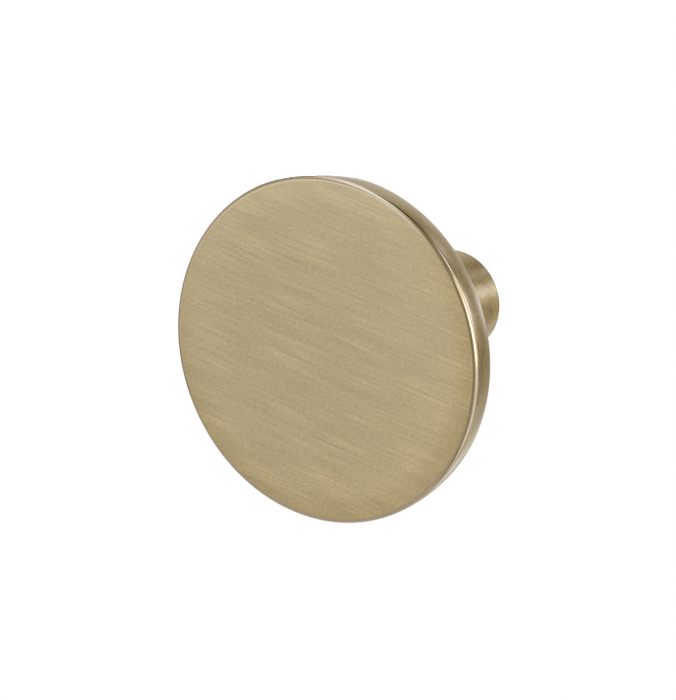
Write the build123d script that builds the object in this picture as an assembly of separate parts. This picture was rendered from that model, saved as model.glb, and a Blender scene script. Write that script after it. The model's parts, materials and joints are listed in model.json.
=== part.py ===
from build123d import *

import os
from math import atan2, cos, radians, sin, tan

# Round cabinet knob, turned in one piece: a flat disc head on a plain round stem.
# Sizes are in millimetres. The origin is the centre of the foot, on the face of the door.
# +Y goes into the door, so the head stands out towards -Y, and +Z is up.

# Head: the disc that the fingers hold
head_diameter = 35.0  # at its widest, just behind the rounded front edge
head_thickness = 3.5
face_ease_width = 2.6  # the band inside the edge in which the face curves gently down
face_ease_drop = 0.125
face_edge_radius = 0.4
rim_fall = 0.37  # how much the crowned rim has lost of the head's radius at the back
back_edge_radius = 0.35

# Stem: the post between the door and the head
projection = 26.0  # from the door to the front of the head
stem_diameter = 10.7
root_radius = 0.8  # in the corner between the stem and the back of the head
foot_chamfer = 0.25

# Screw hole: blind, up the middle of the stem, drilled to the core size of an M4 thread
thread_diameter = 4.0
thread_pitch = 0.7
drill_depth = 14.0  # from the foot to the shoulder of the drill point
drill_point_angle = 118.0
countersink_angle = 90.0
countersink_margin = 0.1  # how far the mouth reaches past the thread, all round


def turned_section():
    """Half section of the solid knob, with X as the radius and Y along the axis."""
    head_radius = head_diameter / 2
    stem_radius = stem_diameter / 2
    face = -projection
    back = face + head_thickness

    face_centre = (0, face)
    ease_angle = 2 * atan2(face_ease_drop, face_ease_width)
    ease_end = (head_radius - face_edge_radius * (1 - sin(ease_angle)), face + face_ease_drop)
    flat_end = (ease_end[0] - face_ease_width, face)
    widest = (head_radius, ease_end[1] + face_edge_radius * cos(ease_angle))
    back_edge = (head_radius - rim_fall, back)
    root = (stem_radius, back)
    foot_edge = (stem_radius, 0)

    face_line = Line(face_centre, flat_end)
    face_ease = TangentArc(flat_end, ease_end, tangent=(1, 0))
    face_edge = TangentArc(ease_end, widest, tangent=(cos(ease_angle), sin(ease_angle)))
    rim = TangentArc(widest, back_edge, tangent=(0, 1))
    back_and_stem = Polyline(back_edge, root, foot_edge, (0, 0), face_centre)
    outline = face_line + face_ease + face_edge + rim + back_and_stem
    section = make_face(outline.edges())

    for corner, radius in ((back_edge, back_edge_radius), (root, root_radius)):
        section = fillet(corner_of(section, corner), radius)
    return chamfer(corner_of(section, foot_edge), foot_chamfer)


def corner_of(section, point):
    """The section's corner that lies at a point."""
    return section.vertices().sort_by_distance(point)[0]


def screw_hole_section():
    """Half section of the hole: countersunk mouth, straight wall and drill point."""
    drill_radius = (thread_diameter - thread_pitch) / 2
    mouth_radius = thread_diameter / 2 + countersink_margin
    countersink_depth = (mouth_radius - drill_radius) / tan(radians(countersink_angle / 2))
    point_depth = drill_radius / tan(radians(drill_point_angle / 2))

    mouth = (mouth_radius, 0)
    wall_start = (drill_radius, -countersink_depth)
    wall_end = (drill_radius, -drill_depth)
    tip = (0, -drill_depth - point_depth)
    return make_face(Polyline((0, 0), mouth, wall_start, wall_end, tip, close=True))


def turned_knob():
    """The finished piece, with its screw hole."""
    solid_knob = revolve(turned_section(), axis=Axis.Y)
    screw_hole = revolve(screw_hole_section(), axis=Axis.Y)
    return solid_knob - screw_hole


os.makedirs("parts", exist_ok=True)
export_step(turned_knob(), "parts/knob.step")
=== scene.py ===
import json
from math import atan2, cos, degrees, pi, radians, sin, sqrt, tan

import bmesh
import bpy
from mathutils import Matrix, Vector


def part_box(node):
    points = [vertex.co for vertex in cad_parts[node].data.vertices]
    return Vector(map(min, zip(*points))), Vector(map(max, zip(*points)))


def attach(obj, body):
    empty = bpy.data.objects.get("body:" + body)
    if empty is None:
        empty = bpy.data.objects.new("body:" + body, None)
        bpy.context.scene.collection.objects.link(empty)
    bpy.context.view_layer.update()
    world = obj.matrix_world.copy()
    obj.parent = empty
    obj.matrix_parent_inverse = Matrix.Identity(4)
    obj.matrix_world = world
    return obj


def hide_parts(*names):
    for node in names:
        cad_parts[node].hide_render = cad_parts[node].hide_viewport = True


# Brushed brass cabinet knob: the turned piece with its tapped hole, its finishes, and a pale studio.
# Lengths are in metres, in the frame of the solid: the foot is at the origin and the head faces -Y.

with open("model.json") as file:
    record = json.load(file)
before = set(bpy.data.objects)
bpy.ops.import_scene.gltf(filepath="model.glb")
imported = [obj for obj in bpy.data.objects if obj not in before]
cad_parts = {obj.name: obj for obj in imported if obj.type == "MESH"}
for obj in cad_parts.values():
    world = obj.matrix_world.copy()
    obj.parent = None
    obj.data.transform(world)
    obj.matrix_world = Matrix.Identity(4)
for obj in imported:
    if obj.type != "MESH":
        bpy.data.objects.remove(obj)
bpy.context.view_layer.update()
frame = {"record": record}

MM = 0.001
solid_low, solid_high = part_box("knob")
mounts = {mount["name"]: mount for mount in frame["record"]["mounts"]}

# The turned section, as on the solid
PROJECTION = solid_high.y - solid_low.y
HEAD_RADIUS = 17.5 * MM
HEAD_THICKNESS = 3.5 * MM
FACE_EASE_WIDTH = 2.6 * MM
FACE_EASE_DROP = 0.125 * MM
FACE_EDGE_RADIUS = 0.4 * MM
BUFFED_LINE = 0.08 * MM  # the last of the eased face, which is buffed with the edge
RIM_FALL = 0.37 * MM
BACK_EDGE_RADIUS = 0.35 * MM
STEM_RADIUS = 5.35 * MM
ROOT_RADIUS = 0.8 * MM
FOOT_CHAMFER = 0.25 * MM

# The tapped hole
CORE_RADIUS = mounts["screw_hole"]["dims"]["r_mm"] * MM
THREAD_RADIUS = 2.0 * MM
THREAD_PITCH = 0.7 * MM
MOUTH_RADIUS = 2.1 * MM
COUNTERSINK_DEPTH = MOUTH_RADIUS - CORE_RADIUS
WALL_LENGTH = mounts["screw_hole"]["dims"]["length_mm"] * MM
THREAD_RUN_OUT = 2.0 * MM
DRILL_POINT_ANGLE = radians(118.0)

# The finish, as linear colours
LACQUERED_BRASS = (0.46, 0.367, 0.198)
BUFFED_BRASS = (0.46, 0.374, 0.237)
BARE_BRASS = (0.55, 0.41, 0.19)
FACE_BRUSH_ANGLE = radians(-14.0)
# Painted sheen: the face's colour is made lighter with distance from this point, to stand in for light
# on its edges.
PAINTED_SHEEN_CENTRE = (-7.0 * MM, 4.0 * MM)
COAT_ROUGHNESS = 0.15
BUMP_DEPTH = 0.01 * MM
SCRATCH_WIDTH = 0.24 * MM
GRAIN_WIDTH = 0.2 * MM
GRAIN_LENGTH = 0.4 * MM
PATCH_WIDTH = 1.8 * MM
WANDER_SCALE = 200.0  # waves to the metre, along which brushed lines stray
TABLE_PAINT = (0.77, 0.735, 0.655, 1)

# The view
PHOTO_HEIGHT = 700
CAMERA_AZIMUTH = radians(32.28)
CAMERA_ELEVATION = radians(14.21)
CAMERA_DISTANCE = 0.350
FOCAL_PIXELS = 3529.0
AIM_LEFT = 0.30 * MM
AIM_DOWN = 0.57 * MM
SENSOR_WIDTH = 36.0

# The studio: a dim room with soft round lights, each named for what it lights in the metal, by
# azimuth, elevation and spread in degrees, and brightness. Flags are dark cards, with the share
# of the light that they take away.
# Dim light is warm and bright light is cool: each colour is a power of the brightness.
ROOM_LEVEL = 0.15
ROOM_LIGHTS = {
    "flat_face": (-150, -7, 12, 1.3),
    "left_edge": (-114, 12, 25, 0.62),
    "top_edge": (-150, 70, 16, 2.6),
    "right_shoulder": (122, -4, 23, 1.1),
    "right_edge_line": (105, 8, 14, 1.8),
    "upper_right_edge": (-170, 23, 8, 2.2),
    "upper_shoulder": (59, 42, 8, 5.0),
    "rim": (-9, 17, 22, 0.65),
    "top_of_rim": (-27, 58, 12, 4.4),
    "upper_left_rim_line": (-35, 1, 3, 5.0),
    "upper_right_rim_line": (15, 28, 4, 1.4),
    "right_rim": (18, -28, 8, 0.45),
    "right_rim_line": (8, 0, 4, 1.2),
    "lower_rim": (-10, -33, 8, 0.75),
    "rim_below": (71, -42, 20, 1.4),
    "stem_highlight": (40, 13, 6, 3.4),
    "lower_stem": (38, -20, 6, 0.6),
}
FLAGS = {
    "above_the_rim": (12, 58, 24, 1.0),
    "below_the_stem": (27, -20, 6, 0.6),
    "inside_the_right_edge": (-160, -12, 5, 0.7),
}
LIGHT_POWERS = (0.85, 1.0, 1.4)
# The white backdrop as the metal mirrors it: azimuth, elevation and spread. The gain firms its edge.
BACKDROP = (-31, -10, 4)
BACKDROP_GAIN = 3.0
SOFTBOX_DISTANCE = 0.6

# The mesh
AROUND = 128
ROWS_PER_PITCH = 8
SHARP_ANGLE = radians(35)


class Wire:
    """An output socket of a node tree. Arithmetic on it adds Math nodes."""

    def __init__(self, graph, socket):
        self.graph = graph
        self.socket = socket

    def maths(self, operation, *values):
        return self.graph.node("ShaderNodeMath", {"operation": operation}, dict(enumerate(values)))

    def __add__(self, other):
        return self.maths("ADD", self, other)

    def __sub__(self, other):
        return self.maths("SUBTRACT", self, other)

    def __rsub__(self, other):
        return self.maths("SUBTRACT", other, self)

    def __mul__(self, other):
        return self.maths("MULTIPLY", self, other)

    def __truediv__(self, other):
        return self.maths("DIVIDE", self, other)

    def __pow__(self, other):
        return self.maths("POWER", self, other)

    __radd__ = __add__
    __rmul__ = __mul__

    def limited(self, low, high):
        return self.maths("MINIMUM", self.maths("MAXIMUM", self, low), high)


class Graph:
    """A node tree that is filled one node at a time."""

    def __init__(self, tree):
        self.tree = tree
        tree.nodes.clear()

    def node(self, kind, settings=None, sockets=None, output=0):
        """Adds a node with its settings, sets or links its sockets, and gives one of its outputs."""
        made = self.tree.nodes.new(kind)
        for name, setting in (settings or {}).items():
            setattr(made, name, setting)
        for name, value in (sockets or {}).items():
            if isinstance(value, Wire):
                self.tree.links.new(value.socket, made.inputs[name])
            else:
                made.inputs[name].default_value = value
        return Wire(self, made.outputs[output]) if made.outputs else made

    def vector(self, x, y, z):
        return self.node("ShaderNodeCombineXYZ", sockets={"X": x, "Y": y, "Z": z})

    def split(self, vector):
        parts = {0: vector}
        return [self.node("ShaderNodeSeparateXYZ", sockets=parts, output=axis) for axis in range(3)]

    def noise(self, vector, scale=1.0, detail=2.0, roughness=0.5):
        sockets = {"Vector": vector, "Scale": scale, "Detail": detail, "Roughness": roughness}
        return self.node("ShaderNodeTexNoise", {"noise_dimensions": "3D"}, sockets)

    def tinted(self, colour, share):
        """A colour, made lighter or darker by a share that varies."""
        scaled = {0: colour, "Scale": share}
        return self.node("ShaderNodeVectorMath", {"operation": "SCALE"}, scaled)


def straight_brushing(graph, place):
    """Across and along for straight lines on the flat face."""
    x, y, _ = graph.split(place)
    along = x * cos(FACE_BRUSH_ANGLE) + y * sin(FACE_BRUSH_ANGLE)
    across = y * cos(FACE_BRUSH_ANGLE) - x * sin(FACE_BRUSH_ANGLE)
    return across, graph.vector(along, 0.0, 0.0)


def turned_lines(graph, place):
    """Across and along for lines that run round the rim and the stem."""
    x, y, z = graph.split(place)
    return z, graph.vector(x, y, 0.0)


def ring_lines(graph, place):
    """Across and along for lines that run in rings on a turned flat."""
    x, y, _ = graph.split(place)
    return (x * x + y * y) ** 0.5, graph.vector(x, y, 0.0)


def brass(
    name, lines, line_length, contrast, roughness, bump,
    colour=LACQUERED_BRASS, coat=0.6, wander=0.0, painted_sheen=0.0,
):
    """Brass with fine lines under a coat of lacquer, and a painted sheen that makes it lighter away from
    the sheen's centre point.
    """
    material = bpy.data.materials.new(name)
    material.use_nodes = True
    graph = Graph(material.node_tree)
    place = graph.node("ShaderNodeTexCoord", output="Object")
    across, along = lines(graph, place)
    along_x, along_y, _ = graph.split(along)
    across = across + (graph.noise(place, scale=WANDER_SCALE, detail=0.0) - 0.5) * wander

    def streaks(width, length, detail):
        spread = graph.vector(along_x / length, along_y / length, across / width)
        return graph.noise(spread, detail=detail) - 0.5

    scratches = streaks(SCRATCH_WIDTH, line_length, 1.0)
    grain = streaks(GRAIN_WIDTH, GRAIN_LENGTH, 0.0)
    patches = streaks(PATCH_WIDTH, 0.9 * line_length, 1.0)
    shade = scratches * (0.85 + patches * 2.2) + grain * 0.6 + patches * 0.45
    x, y, _ = graph.split(place)
    # Painted sheen: the colour gets lighter with distance from the sheen's centre point.
    painted_sheen_share = ((x - PAINTED_SHEEN_CENTRE[0]) ** 2 + (y - PAINTED_SHEEN_CENTRE[1]) ** 2) * (painted_sheen / HEAD_RADIUS**2)
    height = graph.node(
        "ShaderNodeBump", sockets={"Strength": bump, "Distance": BUMP_DEPTH, "Height": shade}
    )
    surface = graph.node(
        "ShaderNodeBsdfPrincipled",
        sockets={
            "Base Color": graph.tinted(colour, 1.0 + painted_sheen_share + shade * contrast),
            "Metallic": 1.0,
            "Roughness": (roughness + shade * 0.1).limited(0.05, 1.0),
            "Coat Weight": coat,
            "Coat Roughness": COAT_ROUGHNESS,
            "Normal": height,
        },
    )
    graph.node("ShaderNodeOutputMaterial", sockets={"Surface": surface})
    return material


FINISHES = {
    "face": brass(
        "brushed_face", straight_brushing, line_length=8.0 * MM, contrast=0.66, roughness=0.36,
        # A painted sheen makes the face lighter towards its edges.
        bump=0.15, wander=0.3 * MM, painted_sheen=0.098,
    ),
    "edge": brass(
        "buffed_edge", turned_lines, line_length=2.0 * MM, contrast=0.15, roughness=0.14,
        bump=0.03, colour=BUFFED_BRASS, coat=1.0,
    ),
    "rim": brass(
        "brushed_rim", turned_lines, line_length=2.0 * MM, contrast=0.7, roughness=0.21,
        bump=0.1, colour=BUFFED_BRASS,
    ),
    "stem": brass(
        "brushed_stem", turned_lines, line_length=4.0 * MM, contrast=0.9, roughness=0.3, bump=0.18
    ),
    "flat": brass(
        "turned_flat", ring_lines, line_length=4.0 * MM, contrast=0.4, roughness=0.3, bump=0.1
    ),
    "bore": brass(
        "tapped_bore", turned_lines, line_length=4.0 * MM, contrast=0.1, roughness=0.3,
        bump=0.02, colour=BARE_BRASS, coat=0.0,
    ),
}


def arc(centre, radius, start, end, steps):
    """Points on an arc of the section, as radius and height, from one angle to another."""
    turns = [radians(start + (end - start) * step / steps) for step in range(steps + 1)]
    return [(centre[0] + radius * cos(turn), centre[1] + radius * sin(turn)) for turn in turns]


def head_and_stem():
    """The section from the middle of the face to the mouth of the hole, in stretches of one finish."""
    face = PROJECTION
    back = face - HEAD_THICKNESS
    # The face eases down towards its edge, which is a tighter arc that ends parallel to the axis.
    ease_radius = (FACE_EASE_WIDTH**2 + FACE_EASE_DROP**2) / (2 * FACE_EASE_DROP)
    edge_start = 90 - 2 * degrees(atan2(FACE_EASE_DROP, FACE_EASE_WIDTH))
    edge_centre = HEAD_RADIUS - FACE_EDGE_RADIUS
    ease_end = edge_centre + FACE_EDGE_RADIUS * cos(radians(edge_start))
    flat_end = ease_end - FACE_EASE_WIDTH
    ease_centre = (flat_end, face - ease_radius)
    line_start = 90 - (90 - edge_start) * (1 - BUFFED_LINE / FACE_EASE_WIDTH)
    ease = arc(ease_centre, ease_radius, 90, line_start, 12)
    line = arc(ease_centre, ease_radius, line_start, edge_start, 1)
    widest = line[-1][1] - FACE_EDGE_RADIUS * sin(radians(edge_start))
    face_edge = arc((edge_centre, widest), FACE_EDGE_RADIUS, edge_start, 0, 17)

    # The rim is an arc that starts parallel to the axis and has lost the fall at the back.
    rim_depth = widest - back
    crown_radius = (rim_depth**2 + RIM_FALL**2) / (2 * RIM_FALL)
    crown_centre = (HEAD_RADIUS - crown_radius, widest)
    # The back edge's arc touches the crown from inside and the flat back.
    edge_drop = rim_depth - BACK_EDGE_RADIUS
    edge_reach = sqrt((crown_radius - BACK_EDGE_RADIUS) ** 2 - edge_drop**2)
    back_centre = (crown_centre[0] + edge_reach, back + BACK_EDGE_RADIUS)
    lean = -degrees(atan2(edge_drop, edge_reach))
    rim = arc(crown_centre, crown_radius, 0, lean, 8)
    back_edge = arc(back_centre, BACK_EDGE_RADIUS, lean, -90, 10)

    root_centre = (STEM_RADIUS + ROOT_RADIUS, back - ROOT_RADIUS)
    root = arc(root_centre, ROOT_RADIUS, 90, 180, 10)
    support = 0.05 * MM
    outer, inner = back_edge[-1], root[0]
    return [
        ("face", [(0, face), (flat_end / 2, face), (flat_end - support, face), *ease]),
        ("edge", line),
        ("edge", face_edge),
        ("rim", rim),
        ("edge", back_edge),
        ("flat", [outer, (outer[0] - support, back), (inner[0] + support, back), inner]),
        ("stem", root),
        ("stem", [root[-1], (STEM_RADIUS, root[-1][1] - support), (STEM_RADIUS, FOOT_CHAMFER)]),
        ("stem", [(STEM_RADIUS, FOOT_CHAMFER), (STEM_RADIUS - FOOT_CHAMFER, 0)]),
        ("flat", [(STEM_RADIUS - FOOT_CHAMFER, 0), (MOUTH_RADIUS, 0)]),
    ]


def thread_radius(height, turn):
    """Radius of the tapped wall at a height above the foot and an angle round it."""
    phase = (height / THREAD_PITCH - turn / (2 * pi)) % 1.0
    groove = min(1.0, max(0.0, 1.6 * (1.0 - abs(2.0 * phase - 1.0)) - 0.3))
    shoulder = COUNTERSINK_DEPTH + WALL_LENGTH
    run_out = min(1.0, max(0.0, (shoulder - THREAD_RUN_OUT - height) / THREAD_RUN_OUT + 1.0))
    tapped = CORE_RADIUS + (THREAD_RADIUS - CORE_RADIUS) * groove * run_out
    return max(tapped, MOUTH_RADIUS - height)


def turned_knob():
    """The whole piece as one closed mesh, turned about its own Z axis with the foot at its origin."""
    mesh = bmesh.new()
    slots = list(FINISHES)

    def ring(radius, height):
        if callable(radius):
            places = [(radius(height, 2 * pi * k / AROUND), 2 * pi * k / AROUND) for k in range(AROUND)]
        elif radius == 0:
            return [mesh.verts.new((0, 0, height))]
        else:
            places = [(radius, 2 * pi * k / AROUND) for k in range(AROUND)]
        return [mesh.verts.new((r * cos(turn), r * sin(turn), height)) for r, turn in places]

    def band(upper, lower, finish):
        for k in range(AROUND):
            after = (k + 1) % AROUND
            corners = [
                upper[k % len(upper)],
                lower[k % len(lower)],
                lower[after % len(lower)],
                upper[after % len(upper)],
            ]
            face = mesh.faces.new(list(dict.fromkeys(corners)))
            face.material_index = slots.index(finish)
            face.smooth = True

    last = None
    for finish, points in head_and_stem():
        for radius, height in points if last is None else points[1:]:
            made = ring(radius, height)
            if last is not None:
                band(last, made, finish)
            last = made

    shoulder = COUNTERSINK_DEPTH + WALL_LENGTH
    rows = int(shoulder / THREAD_PITCH * ROWS_PER_PITCH)
    for row in range(1, rows + 1):
        made = ring(thread_radius, shoulder * row / rows)
        band(last, made, "bore")
        last = made
    tip = ring(0, shoulder + CORE_RADIUS / tan(DRILL_POINT_ANGLE / 2))
    band(last, tip, "bore")

    data = bpy.data.meshes.new("knob_turned")
    mesh.to_mesh(data)
    mesh.free()
    for finish in FINISHES.values():
        data.materials.append(finish)
    data.set_sharp_from_angle(angle=SHARP_ANGLE)
    piece = bpy.data.objects.new("knob_turned", data)
    piece.rotation_euler = (pi / 2, 0, 0)
    bpy.context.scene.collection.objects.link(piece)
    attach(piece, "root")
    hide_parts("knob")
    return piece


def pale_floor():
    """A pale table under the knob, which keeps the shadow."""
    depth_below = 0.25
    bpy.ops.mesh.primitive_grid_add(x_subdivisions=2, y_subdivisions=2, size=1)
    floor = bpy.context.object
    floor.name = "floor"
    left, right, front, behind = -0.55, 0.08, -0.7, 0.22
    floor.location = ((left + right) / 2, (front + behind) / 2, -depth_below)
    floor.scale = (right - left, behind - front, 1)
    material = bpy.data.materials.new("pale_table")
    material.use_nodes = True
    graph = Graph(material.node_tree)
    paint = graph.node("ShaderNodeBsdfDiffuse", sockets={"Color": TABLE_PAINT})
    graph.node("ShaderNodeOutputMaterial", sockets={"Surface": paint})
    floor.data.materials.append(material)


def ray_kind(graph, *kinds):
    """1 for rays of the kinds named, 0 for all others."""
    is_kind, *others = [graph.node("ShaderNodeLightPath", output=kind) for kind in kinds]
    for other in others:
        is_kind = is_kind.maths("MAXIMUM", is_kind, other)
    return is_kind


def towards(azimuth, elevation):
    """A direction seen from the knob. Azimuth 0 is straight behind it, 90 is to its right."""
    a, e = radians(azimuth), radians(elevation)
    return Vector((sin(a) * cos(e), cos(a) * cos(e), sin(e)))


def studio_room():
    """The surroundings: white behind the knob, in the metal too, in a dim room with patches of light."""
    world = bpy.data.worlds.new("studio")
    bpy.context.scene.world = world
    world.use_nodes = True
    graph = Graph(world.node_tree)
    ray = graph.node("ShaderNodeTexCoord", output="Generated")

    def round_patch(azimuth, elevation, spread):
        middle = {0: ray, 1: towards(azimuth, elevation)}
        facing = graph.node("ShaderNodeVectorMath", {"operation": "DOT_PRODUCT"}, middle, output="Value")
        falloff = (facing - 1.0) / radians(spread) ** 2
        return falloff.maths("EXPONENT", falloff)

    level = ROOM_LEVEL
    for *place, brightness in ROOM_LIGHTS.values():
        level = level + round_patch(*place) * brightness
    for *place, share in FLAGS.values():
        level = level * (1.0 - round_patch(*place) * share)
    room = graph.vector(*(level**power for power in LIGHT_POWERS))
    # The backdrop is white wherever the lens looks. In the metal it is a white disc behind the knob.
    backdrop = (round_patch(*BACKDROP) * BACKDROP_GAIN).limited(0.0, 1.0)
    mirrored = ray_kind(graph, "Is Glossy Ray", "Is Transmission Ray") * backdrop
    white = mirrored.maths("MAXIMUM", mirrored, ray_kind(graph, "Is Camera Ray"))
    seen = graph.node(
        "ShaderNodeMix",
        {"data_type": "VECTOR"},
        {"Factor": white, "A": room, "B": (1, 1, 1)},
        output="Result",
    )
    background = graph.node("ShaderNodeBackground", sockets={"Color": seen})
    graph.node("ShaderNodeOutputWorld", sockets={"Surface": background})


def softbox(name, azimuth, elevation, width, height, brightness):
    """A rectangular lamp that faces the knob's head."""
    lamp = bpy.data.lights.new(name, "AREA")
    lamp.shape = "RECTANGLE"
    lamp.size = width
    lamp.size_y = height
    colour = [brightness**power for power in LIGHT_POWERS]
    lamp.color = [share / max(colour) for share in colour]
    lamp.energy = max(colour) * pi * width * height
    holder = bpy.data.objects.new(name, lamp)
    way = towards(azimuth, elevation)
    head = Vector((0, -PROJECTION + HEAD_THICKNESS, 0))
    holder.location = head + way * SOFTBOX_DISTANCE
    holder.rotation_euler = way.to_track_quat("Z", "Y").to_euler()
    bpy.context.scene.collection.objects.link(holder)


def camera():
    """The lens, where the photograph was taken from."""
    lens = bpy.data.cameras.new("camera")
    lens.sensor_width = SENSOR_WIDTH
    lens.lens = FOCAL_PIXELS * SENSOR_WIDTH / PHOTO_HEIGHT
    holder = bpy.data.objects.new("camera", lens)
    a, e = CAMERA_AZIMUTH, CAMERA_ELEVATION
    back = Vector((sin(a) * cos(e), -cos(a) * cos(e), sin(e)))
    right = Vector((cos(a), sin(a), 0))
    up = back.cross(right)
    head_back = Vector((0, -PROJECTION + HEAD_THICKNESS, 0))
    aim = head_back - right * AIM_LEFT - up * AIM_DOWN
    turn = Matrix((right, up, back)).transposed().to_4x4()
    holder.matrix_world = Matrix.Translation(aim + back * CAMERA_DISTANCE) @ turn
    bpy.context.scene.collection.objects.link(holder)
    bpy.context.scene.camera = holder


turned_knob()
pale_floor()
studio_room()
softbox("right_softbox", azimuth=88, elevation=13, width=1.56, height=0.52, brightness=0.8)
softbox("left_softbox", azimuth=-45, elevation=24, width=0.14, height=0.14, brightness=5.0)
camera()
bpy.context.scene.view_settings.view_transform = "Standard"
